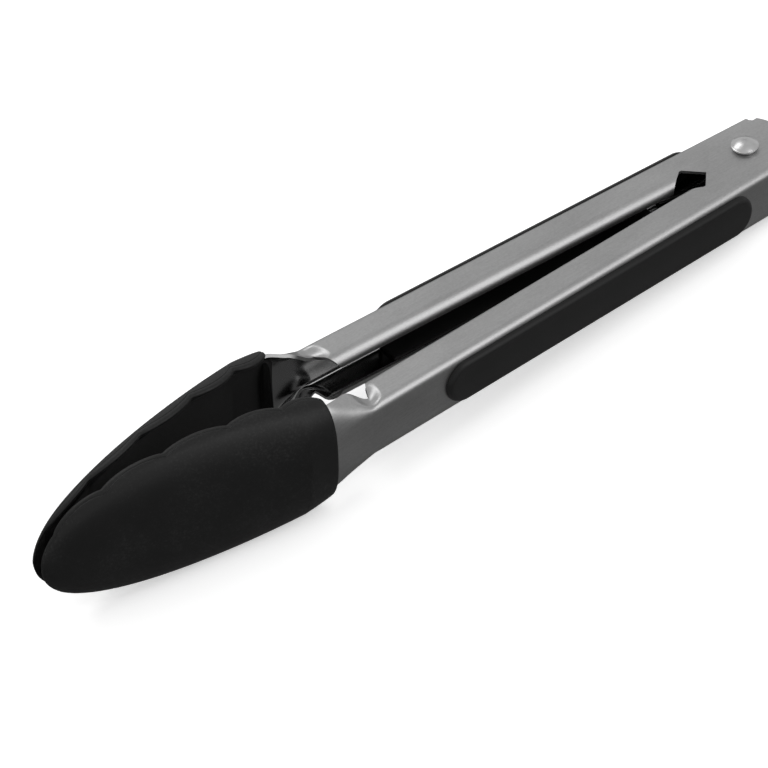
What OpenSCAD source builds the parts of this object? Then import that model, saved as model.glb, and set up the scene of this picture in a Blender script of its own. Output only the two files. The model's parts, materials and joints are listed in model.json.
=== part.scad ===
// Spring loaded kitchen tongs, closed, locked and lying on their side.
// Each arm is drawn along X with its back on +Y, then splayed about the rivet;
// the front arm is the mirror of the rear one, and its ears go outside.

/* [Reach] */
// Rivet to the end of the tips
reach = 210; // [190:1:240]
// Rivet to the neck, where the flanges end
neck_reach = 124.5; // [105:0.5:130]
// Rivet to the rear end of the soft tips
tip_start = 137; // [134:1:150]
// Splay of each arm when the tips meet, in degrees
splay = 1.84; // [1.5:0.02:2.2]

/* [Arms] */
// Thickness of the steel sheet
sheet = 0.8; // [0.6:0.05:1]
// Height of the front arm's channel
channel_h = 15; // [13:0.5:18]
// Rivet axis to the back of an arm
back_offset = 10.25; // [9.5:0.25:12]
// Depth of the channel, back to lip
channel_d = 9.4; // [8:0.2:10]
// Outside radius of the bend between back and flange
bend_r = 2; // [1.2:0.1:2.4]
// Outside radius of the curled lip
lip_r = 3; // [2.4:0.1:3.4]
// Rivet to the end of the curled lips
lip_end = 17; // [17:0.5:24]
// How far the end of a lip slopes back from there
lip_slant = 4; // [0.5:0.5:6]
// Gap between the nested ears
ear_gap = 0.1; // [0.05:0.05:0.2]
// Radius of the ears' round end
ear_r = 11.7; // [11.4:0.1:11.8]
// Reach of an ear past the rivet, towards the other arm
ear_past = 4.3; // [4:0.1:4.5]
// Rivet to the point where the slanted ear edges cross
ear_cross = 12.5; // [11:0.25:13]
// Rivet to the free end of the arm's back
back_end = 8.2; // [8:0.1:8.4]

/* [Head] */
// Half width of the soft tip at its widest
head_half_w = 18.4; // [16:0.1:21]
// Thickness of the soft tip in the middle
tip_wall = 3; // [2.6:0.1:4]
// Thickness of the rim
rim_wall = 1.4; // [1.2:0.1:2]
// Height of the waves along the rim
wave_h = 2; // [0.5:0.1:2.2]
// Number of waves along each rim
wave_count = 5; // [3:1:8]
// Gap between the two tips when closed
tip_gap = 0.4; // [0.2:0.1:1]

/* [Grips] */
// Length of a grip pad
grip_len = 96; // [92:1:110]
// Rivet to the near end of a grip pad
grip_start = 7.8; // [7:0.2:12]
// Height of a grip pad
grip_h = 11.4; // [8:0.2:11.6]
// Thickness of a grip pad
grip_t = 1.4; // [1:0.1:3]
// Rivet to the near end of the liner inside the arm
liner_start = 23; // [22:0.5:30]
// Length of the liner
liner_len = 79; // [50:1:80]
// Wall of the liner
liner_wall = 1; // [0.8:0.1:1.4]

/* [Hinge] */
// Radius of the rivet's shank
rivet_r = 2.5; // [2:0.1:2.8]
// Radius of the rivet's head
rivet_head_r = 3.35; // [3.1:0.05:4.5]
// Height of the rim of the rivet's head
rivet_rim = 1.1; // [0.8:0.1:1.4]
// Height of the dome on the rivet's head
rivet_dome = 1.1; // [0.8:0.1:1.8]
// Radial clearance of the rivet in its holes
rivet_fit = 0.05; // [0.02:0.01:0.1]
// Wall of the bush round the rivet
bush_wall = 0.65; // [0.5:0.05:0.8]

/* [Spring] */
// Diameter of the spring wire
wire_d = 1.2; // [1:0.05:1.3]
// Mean radius of the coils
coil_r = 4.9; // [4.6:0.1:5.4]
// Turns in each of the two coils
coil_turns = 3; // [2:1:3]
// Rivet to the end of the spring's legs
leg_reach = 19; // [16:0.5:21]

/* [Lock] */
// Thickness of the lock strap
strap_t = 1.2; // [1:0.1:1.4]
// Travel of the lock strap
lock_travel = 8; // [6:0.5:8.5]
// Half width of the strap's locking lugs
lug_half_w = 8.7; // [8:0.1:8.7]
// Half width of the strap
strap_half_w = 6; // [5.5:0.1:7]
// Rivet to the centre of the hanging hole
hang_reach = 27; // [25:0.5:36]
// Radius of the hanging hole
hang_r = 5; // [3:0.25:6]
// Radius of the strap's round end
tab_r = 9; // [8:0.5:11]

/* [Hidden] */
$fn = 48;
steel = [0.72, 0.72, 0.72];
polished = [0.85, 0.85, 0.86];
black_soft = [0.07, 0.07, 0.07];
black_plastic = [0.03, 0.03, 0.03];
seat_gap = 0.05;
eps = 0.01;
weld = 0.03;

front_half_h = channel_h / 2;
rear_half_h = front_half_h - sheet - ear_gap;
back_in = back_offset - sheet;

function mix(a, b, k) = a + (b - a) * k;
function clamp01(k) = min(1, max(0, k));
function smooth(k) = let (c = clamp01(k)) c * c * (3 - 2 * c);

// ---------- placing ----------
module lying() {
    translate([-middle_x * cos(rest_tilt), 0, pivot_height])
        rotate([0, rest_tilt, 0])
            children();
}

module rear_side() {
    lying() rotate([0, 0, -splay]) children();
}

module front_side() {
    lying() mirror([0, 1, 0]) rotate([0, 0, -splay]) children();
}

// A skin through loops of equal, even point count. The second half of a loop runs back
// beside the first, so a strip of quads between the two closes each end.
module loft(loops) {
    n = len(loops[0]);
    m = len(loops);
    points = [for (section = loops) for (p = section) p];
    sides = [for (i = [0:m - 2]) for (j = [0:n - 1])
        [i * n + j, i * n + (j + 1) % n, (i + 1) * n + (j + 1) % n, (i + 1) * n + j]];
    first = [for (j = [0:n / 2 - 2]) [n - 1 - j, n - 2 - j, j + 1, j]];
    last = [for (j = [0:n / 2 - 2]) (m - 1) * n * [1, 1, 1, 1] + [j, j + 1, n - 2 - j, n - 1 - j]];
    polyhedron(points = points, faces = concat(sides, first, last), convexity = 10);
}

// ---------- section of an arm, drawn from the middle of its back outwards ----------
// Each step of the walk is [length, turn]; the heading starts along +Z and turns to -Y.
function walk(steps, y, z, heading, i = 0) =
    i == len(steps) ? [[y, z, heading]] :
    let (h2 = heading + steps[i][1], hm = heading + steps[i][1] / 2)
    concat([[y, z, heading]],
           walk(steps, y - steps[i][0] * sin(hm), z + steps[i][0] * cos(hm), h2, i + 1));
function bend_steps(r, turn, count) =
    [for (i = [1:count]) [2 * r * sin(turn / count / 2), turn / count]];
// The sheet's outer face as points of [y, z, heading].
function half_section(y, flat, r, turn, flange, lr, lturn) =
    walk(concat([[flat, 0]], bend_steps(r, turn, 5), [[flange, 0]],
                bend_steps(lr, lturn, 5)), y, 0, 0);
// Moves a point of a half section by `out` off the face and by `on` further along it.
function shifted(x, p, out, on) =
    [x, p[0] + out * cos(p[2]) - on * sin(p[2]), p[1] + out * sin(p[2]) + on * cos(p[2])];
// A closed loop of the sheet at x, its thickness laid to the inside, grown all round.
function sheet_loop(x, half, t, grow = 0) = let (
    n = len(half),
    outer = [for (i = [0:n - 1]) shifted(x, half[i], grow, i == n - 1 ? grow : 0)],
    inner = [for (i = [0:n - 1]) shifted(x, half[i], -t - grow, i == n - 1 ? grow : 0)]
) concat([for (i = [n - 1:-1:1]) flip(outer[i])], outer,
         [for (i = [n - 1:-1:1]) inner[i]], [for (p = inner) flip(p)]);
function flip(p) = [p[0], p[1], -p[2]];

// ---------- shape of the head, by the distance u from the rivet ----------
// Distance of its widest place
head_widest = 168;
head_start = 145;
head_drop = 15.2;
nose_round = 1.1;
nose_from = 0.85;
skin = (tip_wall - sheet) / 2;
wave_end = reach - 4;
rim_open = 10.2;
rim_power = 1.5;
nose_lobe = 0.6;
lobe_power = 0.7;
wave_lead = 0.48;
wave_turn = 1.45;
section_power = 2 / 2.7;
half_points = 12;
// Plan of the head: a superellipse ahead of its widest place and a slow taper behind it,
// down to a small round at the rear corners.
plan_power = 2.15;
plan_root = 2.3;
rear_taper = 0.0035;
corner_len = 5;
corner_cut = 0.4;

function head_share(u) = clamp01((u - head_start) / (reach - head_start));
function nose_share(u) = clamp01((head_share(u) - nose_from) / (1 - nose_from));
// Back of the soft tip, along its middle
function tip_back(u) = back_offset + skin - head_drop * head_share(u)
    - nose_round * (1 - sqrt(1 - pow(nose_share(u), 2)));
function open_share(u) = (reach - u) / (reach - tip_start);
// Height of the rim's lobes over its valleys, less towards the nose
function lobe_h(u) = wave_h * mix(nose_lobe, 1, open_share(u));
// Line that the lobes of the rim reach, and how far the rim lies back from it
function tip_crest(u) = tip_gap / 2 - u * tan(splay)
    + (rim_open - wave_h) * pow(open_share(u), rim_power);
// The lobes are longest a little ahead of the middle.
function wave_phase(k) = k + wave_lead * k * (1 - k) * (1 - wave_turn * k);
function wave_share(u) = let (k = clamp01((u - tip_start) / (wave_end - tip_start)))
    1 - pow(abs(sin(180 * wave_count * wave_phase(k))), lobe_power);
function wave_cut(u) = lobe_h(u) * wave_share(u);
// Half width of the soft tip
function tip_half_w(u) = let (
    forward = clamp01((u - head_widest) / (reach - head_widest)),
    backward = max(0, head_widest - u),
    corner = clamp01((tip_start + corner_len - u) / corner_len)
) head_half_w * pow(1 - pow(forward, plan_power), 1 / plan_root) - rear_taper * pow(backward, 2)
    - corner_cut * (1 - sqrt(1 - corner * corner));
// Half section of a scoop, as [y, z, heading], from its middle to its rim
function scoop_point(back, w, depth, a) =
    [back - depth * (1 - pow(cos(a), section_power)), w * pow(sin(a), section_power)];
function scoop_half(back, w, depth, arc) = [for (i = [0:half_points]) let (
    a = arc * i / half_points,
    p = scoop_point(back, w, depth, a),
    before = scoop_point(back, w, depth, max(0, a - 1)),
    after = scoop_point(back, w, depth, min(90, a + 1))
) [p[0], p[1], i == 0 ? 0 : atan2(before[0] - after[0], after[1] - before[1])]];
function inset(half, d) = [for (p = half) [p[0] - d * cos(p[2]), p[1] - d * sin(p[2]), p[2]]];
// Outer half section of the soft tip, which the waves cut short of the crest line
function crest_depth(u) = tip_back(u) - tip_crest(u);
function rim_arc(u) = acos(pow(wave_cut(u) / crest_depth(u), 1 / section_power));
function tip_half(u, arc) = scoop_half(tip_back(u), tip_half_w(u), crest_depth(u), arc);
// The steel blade's outer face inside the soft tip, narrower towards its end
blade_arc = 66;
blade_narrow = 0.8;
function blade_half(u) = let (k = clamp01((u - blade_round) / (blade_end - blade_round)))
    inset(tip_half(u, blade_arc * sqrt(1 - blade_narrow * k * k)), skin);
blade_round = reach - 22;
blade_end = reach - 9;
blade_stations = [tip_start, tip_start + 5, head_start + 5, head_start + 20, reach - 30,
                  blade_round, blade_round + 6, blade_round + 10, blade_end];

// ---------- lying at rest ----------
// The tongs rest on the sides of the tips, at rest_x, and on the rivet's lower head.
rest_x = 160;
rim_shoulder = 0.1;
rim_taper = 0.6;
rim_edge = 0.3;
dome_base_r = rivet_head_r - rim_shoulder;
dome_r = (dome_base_r * dome_base_r + rivet_dome * rivet_dome) / (2 * rivet_dome);
dome_top = front_half_h + seat_gap + rivet_rim + rivet_dome;
rest_tilt = asin((tip_half_w(rest_x) - dome_top) / rest_x);
pivot_height = dome_r + (dome_top - dome_r) * cos(rest_tilt);
tab_end = hang_reach + tab_r;
middle_x = (tab_end - reach) / 2;

// ---------- arms ----------
lip_flat = channel_d - bend_r - lip_r;
neck_start = neck_reach - 2;
neck_fold = neck_start + 3;
neck_stations = concat([neck_start - 1.5],
                       [for (k = [0.07, 0.2, 0.36, 0.52, 0.7, 0.86, 1]) mix(neck_start, neck_fold, k)],
                       [for (k = [0.12:0.22:0.8]) mix(neck_fold, tip_start, k)]);
// What is left of the flange beyond the fold: bend radius and angle, flat, and edge
fold_r = 4;
fold_turn = 75;
fold_flat = 0.8;
fold_edge = 1;

function channel_half(half_h) =
    half_section(back_offset, half_h - bend_r, bend_r, 90, lip_flat, lip_r, 90);
// The flanges fold away along the neck, then the section opens into the scoop's.
function neck_half(u, half_h) = let (
    k1 = smooth((u - neck_start) / (neck_fold - neck_start)),
    k2 = smooth((u - neck_start - 2) / (tip_start - neck_start - 2)),
    fold = half_section(back_offset, half_h - bend_r, mix(bend_r, fold_r, k1),
                        mix(90, fold_turn, k1), mix(lip_flat, fold_flat, k1),
                        mix(lip_r, fold_edge, k1), mix(90, 0, k1)),
    open = blade_half(tip_start)
) [for (i = [0:half_points]) mix(fold[i], open[i], k2)];

module channel_profile(half_h) {
    half = channel_half(half_h);
    n = len(half);
    outer = [for (p = half) [p[0], p[1]]];
    inner = [for (p = half) [p[0] - sheet * cos(p[2]), p[1] - sheet * sin(p[2])]];
    polygon(concat([for (i = [n - 1:-1:1]) [outer[i][0], -outer[i][1]]], outer,
                   [for (i = [n - 1:-1:1]) inner[i]], [for (p = inner) [p[0], -p[1]]]));
}

module back_profile(half_h) {
    intersection() {
        channel_profile(half_h);
        translate([back_offset - bend_r, -channel_h])
            square([2 * bend_r, 2 * channel_h]);
    }
}

// Extrudes a YZ profile between two distances from the rivet.
module along(near, far) {
    translate([-far, 0, 0])
        rotate([90, 0, 90])
            linear_extrude(far - near)
                children();
}

// Free edge of the plain flange between the lip and the ear
flange_edge = back_offset - bend_r - lip_flat;

module ear_outline() {
    difference() {
        union() {
            intersection() {
                circle(ear_r);
                translate([-ear_cross / 2, -ear_past])
                    square([2 * ear_r, ear_past + back_offset - bend_r]);
            }
            polygon([[-lip_end, back_offset - bend_r], [0, back_offset - bend_r], [0, -ear_past],
                     [ear_past - ear_cross, -ear_past],
                     [-flange_edge - ear_cross, flange_edge], [-lip_end, flange_edge]]);
        }
        circle(rivet_r + rivet_fit);
    }
}
// Cuts the ends of the curled lips on a slope.
module lip_cut() {
    lip_edge = back_offset - channel_d;
    translate([0, 0, -channel_h])
        linear_extrude(2 * channel_h)
            polygon([[-lip_end + 1, flange_edge], [-lip_end, flange_edge],
                     [-lip_end - lip_slant, lip_edge], [-lip_end - lip_slant, lip_edge - 1],
                     [-lip_end + 1, lip_edge - 1]]);
}

module arm_body(half_h) {
    difference() {
        union() {
            difference() {
                along(lip_end, neck_start) channel_profile(half_h);
                lip_cut();
            }
            along(-back_end, lip_end) back_profile(half_h);
            for (side = [-1, 1])
                translate([0, 0, side * (half_h - sheet / 2) - sheet / 2])
                    linear_extrude(sheet)
                        ear_outline();
        }
        grip_window(0);
    }
    loft(concat([for (u = neck_stations)
                    sheet_loop(-u, neck_half(u, half_h), sheet, u < neck_start ? -weld : 0)],
                [for (u = blade_stations) sheet_loop(-u, blade_half(u), sheet)]));
}

module front_arm() {
    color(steel) front_side() arm_body(front_half_h);
}
module rear_arm() {
    color(steel) rear_side() arm_body(rear_half_h);
}

// ---------- soft tips ----------
tip_steps = 5 * wave_count;
tip_stations = concat([for (i = [0:tip_steps]) mix(tip_start, wave_end, i / tip_steps)],
                      [for (k = [0.35, 0.6, 0.8, 0.92, 0.99]) mix(wave_end, reach, k)]);

// Share of the wall lost where a section is too small for it
full_depth = 4;
full_half_w = 6;

function tip_loop(u) = let (
    half = tip_half(u, rim_arc(u)),
    n = len(half),
    shrink = min(1, (crest_depth(u) - wave_cut(u)) / full_depth, tip_half_w(u) / full_half_w),
    inner = [for (i = [0:n - 1]) let (
        t = mix(tip_wall, rim_wall, pow(i / half_points, 4)) * shrink)
        [-u, half[i][0] - t * cos(half[i][2]), half[i][1] - t * sin(half[i][2])]],
    outer = [for (p = half) [-u, p[0], p[1]]]
) concat([for (i = [n - 1:-1:1]) flip(outer[i])], outer,
         [for (i = [n - 1:-1:1]) inner[i]], [for (p = inner) flip(p)]);

module soft_tip() {
    loft(concat([for (i = [len(tip_stations) - 1:-1:0]) tip_loop(tip_stations[i])],
                [for (u = blade_stations) sheet_loop(-u - (u == blade_end ? seat_gap : 0),
                    blade_half(u), sheet, seat_gap)]));
}
module front_tip() {
    color(black_soft) front_side() soft_tip();
}
module rear_tip() {
    color(black_soft) rear_side() soft_tip();
}

// ---------- grips ----------
window_half_h = 3;
window_inset = 3;

module slot_outline(near, far, r) {
    translate([-near - r, 0]) circle(r);
    translate([-far + r, 0]) circle(r);
    translate([-far + r, -r]) square([far - near - 2 * r, 2 * r]);
}

// Draws an outline on the back of the arm, from y outwards by t.
module on_back(y, t) {
    translate([0, y, 0])
        rotate([90, 0, 0])
            translate([0, 0, -t])
                linear_extrude(t)
                    children();
}

module grip_window(gap) {
    on_back(back_in - 1 + eps, sheet + 2)
        slot_outline(liner_start + window_inset + gap, liner_start + liner_len - window_inset - gap,
                     window_half_h - gap);
}

// The pad's rounded edge, as [share of its thickness, inset there]
pad_edge = [[0.45, 0], [0.8, 0.35], [1, 1.2]];

module grip_pad() {
    hull()
        for (step = pad_edge)
            on_back(back_offset + seat_gap, grip_t * step[0])
                slot_outline(grip_start + step[1], grip_start + grip_len - step[1],
                             grip_h / 2 - step[1]);
    on_back(back_in - seat_gap, sheet + 2 * seat_gap + eps)
        slot_outline(liner_start + window_inset + seat_gap,
                     liner_start + liner_len - window_inset - seat_gap,
                     window_half_h - seat_gap);
}

module liner(half_h) {
    in_h = half_h - sheet - seat_gap;
    depth = lip_flat + bend_r - sheet - 2 * seat_gap;
    corner = bend_r - sheet;
    along(liner_start, liner_start + liner_len)
        translate([back_in - 2 * seat_gap, 0])
            difference() {
                union() {
                    translate([-depth, -in_h]) square([depth - corner, 2 * in_h]);
                    translate([-depth, corner - in_h]) square([depth, 2 * (in_h - corner)]);
                    for (side = [-1, 1])
                        translate([-corner, side * (in_h - corner)]) circle(corner);
                }
                translate([-depth - 1, liner_wall - in_h])
                    square([depth + 1 - liner_wall, 2 * (in_h - liner_wall)]);
            }
}

module front_grip() {
    color(black_soft) front_side() grip_pad();
}
module rear_grip() {
    color(black_soft) rear_side() grip_pad();
}
module front_grip_liner() {
    color(black_plastic) front_side() liner(front_half_h);
}
module rear_grip_liner() {
    color(black_plastic) rear_side() liner(rear_half_h);
}

// ---------- hinge ----------
bush_half = rear_half_h - sheet - seat_gap;
bush_r = rivet_r + rivet_fit + bush_wall;

// The rim tapers in below its edge, and the dome stands inside a small shoulder.
module rivet_head() {
    translate([0, 0, front_half_h + seat_gap]) {
        rotate_extrude()
            polygon([[0, 0], [rivet_head_r - rim_taper, 0], [rivet_head_r, rivet_rim - rim_edge],
                     [rivet_head_r, rivet_rim], [0, rivet_rim]]);
        intersection() {
            translate([0, 0, rivet_rim + rivet_dome - dome_r]) sphere(dome_r, $fn = 64);
            translate([0, 0, rivet_rim / 2]) cylinder(r = dome_base_r, h = rivet_dome + rivet_rim);
        }
    }
}

module pivot_rivet() {
    color(polished) lying() {
        translate([0, 0, -front_half_h - seat_gap - eps])
            cylinder(r = rivet_r, h = 2 * (front_half_h + seat_gap + eps));
        rivet_head();
        mirror([0, 0, 1]) rivet_head();
    }
}

module pivot_bush() {
    color(steel) lying()
        difference() {
            translate([0, 0, -bush_half]) cylinder(r = bush_r, h = 2 * bush_half);
            translate([0, 0, -bush_half - 1]) cylinder(r = rivet_r + rivet_fit, h = 2 * bush_half + 2);
        }
}

// ---------- spring ----------
spring_low = strap_t / 2 + 0.3 + wire_d / 2;
spring_pitch = wire_d + 0.2;
leg_y = back_in / cos(splay) + leg_reach * tan(splay) - wire_d / 2 - seat_gap;
leg_angle = atan2(leg_y, -leg_reach) - acos(coil_r / norm([leg_y, leg_reach]));
coil_sweep = 2 * leg_angle + 360 * (coil_turns - 1);
coil_steps = 14 * coil_turns;
leg_bend = 1.5;

function radial(a) = [cos(a), sin(a), 0];
// Upper half of the wire as [point, outward side], from the rear leg to the front one
coil_run = [for (i = [0:coil_steps]) let (
    k = i / coil_steps, a = leg_angle - coil_sweep * k)
    [coil_r * radial(a) + [0, 0, spring_low + spring_pitch * coil_sweep * (1 - k) / 360], radial(a)]];
front_leg = [-leg_reach, -leg_y, spring_low];
front_dir = let (d = front_leg - coil_run[coil_steps][0]) d / norm(d);
upper_wire = concat(
    [[[-leg_reach, leg_y, coil_run[0][0][2]], radial(leg_angle)]],
    coil_run,
    [for (i = [0:3]) [front_leg - front_dir * leg_bend * (1 - sin(30 * i))
                      - [0, 0, leg_bend * (1 - cos(30 * i))], radial(-leg_angle)]]);
wire_path = concat(upper_wire, [for (i = [len(upper_wire) - 1:-1:0])
    [flip(upper_wire[i][0]), upper_wire[i][1]]]);

function ring(p, tangent, side, r, count) = let (up = cross(tangent, side))
    [for (j = [0:count - 1]) p + r * (cos(360 * j / count) * side + sin(360 * j / count) * up)];

module torsion_spring() {
    n = len(wire_path);
    color(polished) lying()
        loft([for (i = [0:n - 1]) let (
            before = wire_path[max(0, i - 1)][0],
            after = wire_path[min(n - 1, i + 1)][0],
            tangent = (after - before) / norm(after - before))
            ring(wire_path[i][0], tangent, wire_path[i][1], wire_d / 2, 8)]);
}

// ---------- lock ----------
strap_slot_gap = 0.1;
lug_end = back_end - 0.2;
lug_len = 4.5;
slot_wall = 3;
slot_r = bush_r + strap_slot_gap;
strap_inner = slot_r + slot_wall;

module strap_outline() {
    difference() {
        union() {
            translate([-strap_inner + strap_half_w / 2, 0])
                intersection() {
                    circle(strap_half_w);
                    translate([-strap_half_w / 2, -strap_half_w]) square([strap_half_w, 2 * strap_half_w]);
                }
            translate([-strap_inner + strap_half_w / 2, -strap_half_w])
                square([hang_reach + strap_inner - strap_half_w / 2, 2 * strap_half_w]);
            translate([lug_end - lug_len, -lug_half_w]) square([lug_len, 2 * lug_half_w]);
            translate([hang_reach, 0]) circle(tab_r);
        }
        slot_outline(-lock_travel - slot_r, slot_r, slot_r);
        translate([hang_reach, 0]) circle(hang_r);
    }
}

module lock_strap() {
    color(steel) lying()
        translate([0, 0, -strap_t / 2])
            linear_extrude(strap_t)
                strap_outline();
}

front_arm();
rear_arm();
front_tip();
rear_tip();
front_grip();
rear_grip();
front_grip_liner();
rear_grip_liner();
pivot_rivet();
pivot_bush();
torsion_spring();
lock_strap();
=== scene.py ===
"""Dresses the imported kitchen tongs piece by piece, and sets a small studio round them."""

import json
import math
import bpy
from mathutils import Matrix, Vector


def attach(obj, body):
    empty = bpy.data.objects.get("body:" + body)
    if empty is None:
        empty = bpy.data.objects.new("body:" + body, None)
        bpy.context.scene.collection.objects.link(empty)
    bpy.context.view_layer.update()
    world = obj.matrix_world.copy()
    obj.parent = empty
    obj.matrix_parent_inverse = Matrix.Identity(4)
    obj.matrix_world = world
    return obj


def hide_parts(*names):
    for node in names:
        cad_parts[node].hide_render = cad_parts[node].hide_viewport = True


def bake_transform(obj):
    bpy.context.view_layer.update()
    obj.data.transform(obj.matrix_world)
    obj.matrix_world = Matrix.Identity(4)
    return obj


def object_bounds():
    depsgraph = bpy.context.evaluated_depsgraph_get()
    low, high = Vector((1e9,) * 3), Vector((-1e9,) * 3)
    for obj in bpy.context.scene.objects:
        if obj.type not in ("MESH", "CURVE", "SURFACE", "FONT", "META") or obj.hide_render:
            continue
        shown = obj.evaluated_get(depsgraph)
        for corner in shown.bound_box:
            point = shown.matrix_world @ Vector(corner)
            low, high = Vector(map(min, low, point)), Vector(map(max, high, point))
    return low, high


bl_info = {
    "name": "Kitchen Tongs",
    "version": (1, 0, 0),
    "blender": (4, 5, 0),
    "location": "3D View > Sidebar > Tongs",
    "description": "Models and finishes the visible pieces of spring loaded kitchen tongs",
    "category": "Add Mesh",
}

import bmesh
import bpy
from bpy.props import FloatProperty, FloatVectorProperty, IntProperty, PointerProperty
from mathutils import Matrix, Vector

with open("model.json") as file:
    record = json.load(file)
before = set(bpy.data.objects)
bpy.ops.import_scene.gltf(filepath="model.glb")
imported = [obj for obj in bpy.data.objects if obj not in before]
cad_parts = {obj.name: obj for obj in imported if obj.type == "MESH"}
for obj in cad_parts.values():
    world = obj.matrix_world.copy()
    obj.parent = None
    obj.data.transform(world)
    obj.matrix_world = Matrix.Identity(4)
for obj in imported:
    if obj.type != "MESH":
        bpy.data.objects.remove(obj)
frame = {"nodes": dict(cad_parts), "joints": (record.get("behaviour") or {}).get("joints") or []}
CAD_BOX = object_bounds()
HINGE = next(joint for joint in frame["joints"] if joint["name"] == "front_hinge")
RIVET = Vector(HINGE["pos_m"])
RIVET_AXIS = Vector(HINGE["axis"])
# The tongs' own frame, with the rivet upright and the tips along -X, lies down by this.
LYING = Matrix.Translation(RIVET) @ Matrix.Rotation(math.atan2(RIVET_AXIS.x, RIVET_AXIS.z), 4, "Y")
PER_METRE = 1000  # the shape's rules count in millimetres, the scene in metres
MEET = 1e-4  # vertices nearer to each other than this, in millimetres, become one


# ---------- sizes and finishes ----------
def length(name, default, description):
    """A length in metres for the sidebar."""
    return FloatProperty(
        name=name, default=default, description=description, unit="LENGTH", subtype="DISTANCE", precision=5
    )


def turning(name, degrees, description):
    """An angle for the sidebar."""
    return FloatProperty(name=name, default=math.radians(degrees), subtype="ANGLE", description=description)


class TongsSizes(bpy.types.PropertyGroup):
    """Sizes of the tongs, the same as those of the solids."""

    reach: length("Reach", 0.210, "Rivet to the end of the tips")
    neck_reach: length("Neck reach", 0.1245, "Rivet to the neck, where the flanges end")
    tip_start: length("Tip start", 0.137, "Rivet to the rear end of the soft tips")
    splay: turning("Splay", 1.84, "Splay of each arm when the tips meet")
    sheet: length("Sheet", 0.0008, "Thickness of the steel sheet")
    channel_h: length("Channel height", 0.015, "Height of the front arm's channel")
    back_offset: length("Back offset", 0.01025, "Rivet axis to the back of an arm")
    channel_d: length("Channel depth", 0.0094, "Depth of the channel, back to lip")
    bend_r: length("Bend radius", 0.002, "Outside radius of the bend between back and flange")
    lip_r: length("Lip radius", 0.003, "Outside radius of the curled lip")
    lip_end: length("Lip end", 0.017, "Rivet to the end of the curled lips")
    lip_slant: length("Lip slant", 0.004, "How far the end of a lip slopes back")
    ear_gap: length("Ear gap", 0.0001, "Gap between the nested ears")
    ear_r: length("Ear radius", 0.0117, "Radius of the ears' round end")
    ear_past: length("Ear past", 0.0043, "Reach of an ear past the rivet")
    ear_cross: length("Ear crossing", 0.0125, "Rivet to where the slanted ear edges cross")
    back_end: length("Back end", 0.0082, "Rivet to the free end of the arm's back")
    head_half_w: length("Head half width", 0.0184, "Half width of the soft tip at its widest")
    tip_wall: length("Tip wall", 0.003, "Thickness of the soft tip in the middle")
    rim_wall: length("Rim wall", 0.0014, "Thickness of the rim")
    wave_h: length("Wave height", 0.002, "Height of the waves along the rim")
    wave_count: IntProperty(
        name="Waves", default=5, min=3, max=8, description="Number of waves along each rim"
    )
    tip_gap: length("Tip gap", 0.0004, "Gap between the two tips when closed")
    grip_len: length("Grip length", 0.096, "Length of a grip pad")
    grip_start: length("Grip start", 0.0078, "Rivet to the near end of a grip pad")
    grip_h: length("Grip height", 0.0114, "Height of a grip pad")
    grip_t: length("Grip thickness", 0.0014, "Thickness of a grip pad")
    rivet_r: length("Rivet radius", 0.0025, "Radius of the rivet's shank")
    rivet_head_r: length("Rivet head radius", 0.00335, "Radius of the rivet's head")
    rivet_rim: length("Rivet rim", 0.0011, "Height of the rim of the rivet's head")
    rivet_dome: length("Rivet dome", 0.0011, "Height of the dome on the rivet's head")
    wire_d: length("Wire", 0.0012, "Diameter of the spring wire")
    coil_r: length("Coil radius", 0.0049, "Mean radius of the coils")
    coil_turns: IntProperty(
        name="Coil turns", default=3, min=2, max=3, description="Turns in each of the two coils"
    )
    leg_reach: length("Leg reach", 0.019, "Rivet to the end of the spring's legs")
    strap_t: length("Strap thickness", 0.0012, "Thickness of the lock strap")


def tint(name, default, description):
    """A colour for the sidebar."""
    return FloatVectorProperty(
        name=name, default=default, size=3, min=0, max=1, subtype="COLOR", description=description
    )


class TongsFinishes(bpy.types.PropertyGroup):
    """Colours of the tongs' materials."""

    steel: tint("Steel", (0.55, 0.55, 0.55), "Brushed sheet steel")
    polished: tint("Polished steel", (0.72, 0.72, 0.72), "Rivet")
    wire: tint("Wire", (0.09, 0.09, 0.09), "Spring wire")
    silicone: tint("Silicone", (0.0025, 0.0025, 0.0025), "Soft tips")
    rubber: tint("Rubber", (0.004, 0.004, 0.004), "Grip pads")
    plastic: tint("Plastic", (0.01, 0.01, 0.01), "Liners inside the arms")


# ---------- the shape's rules, in millimetres ----------
def mix(a, b, k):
    return a + (b - a) * k


def clamp01(k):
    return min(1.0, max(0.0, k))


def smooth(k):
    c = clamp01(k)
    return c * c * (3 - 2 * c)


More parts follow.
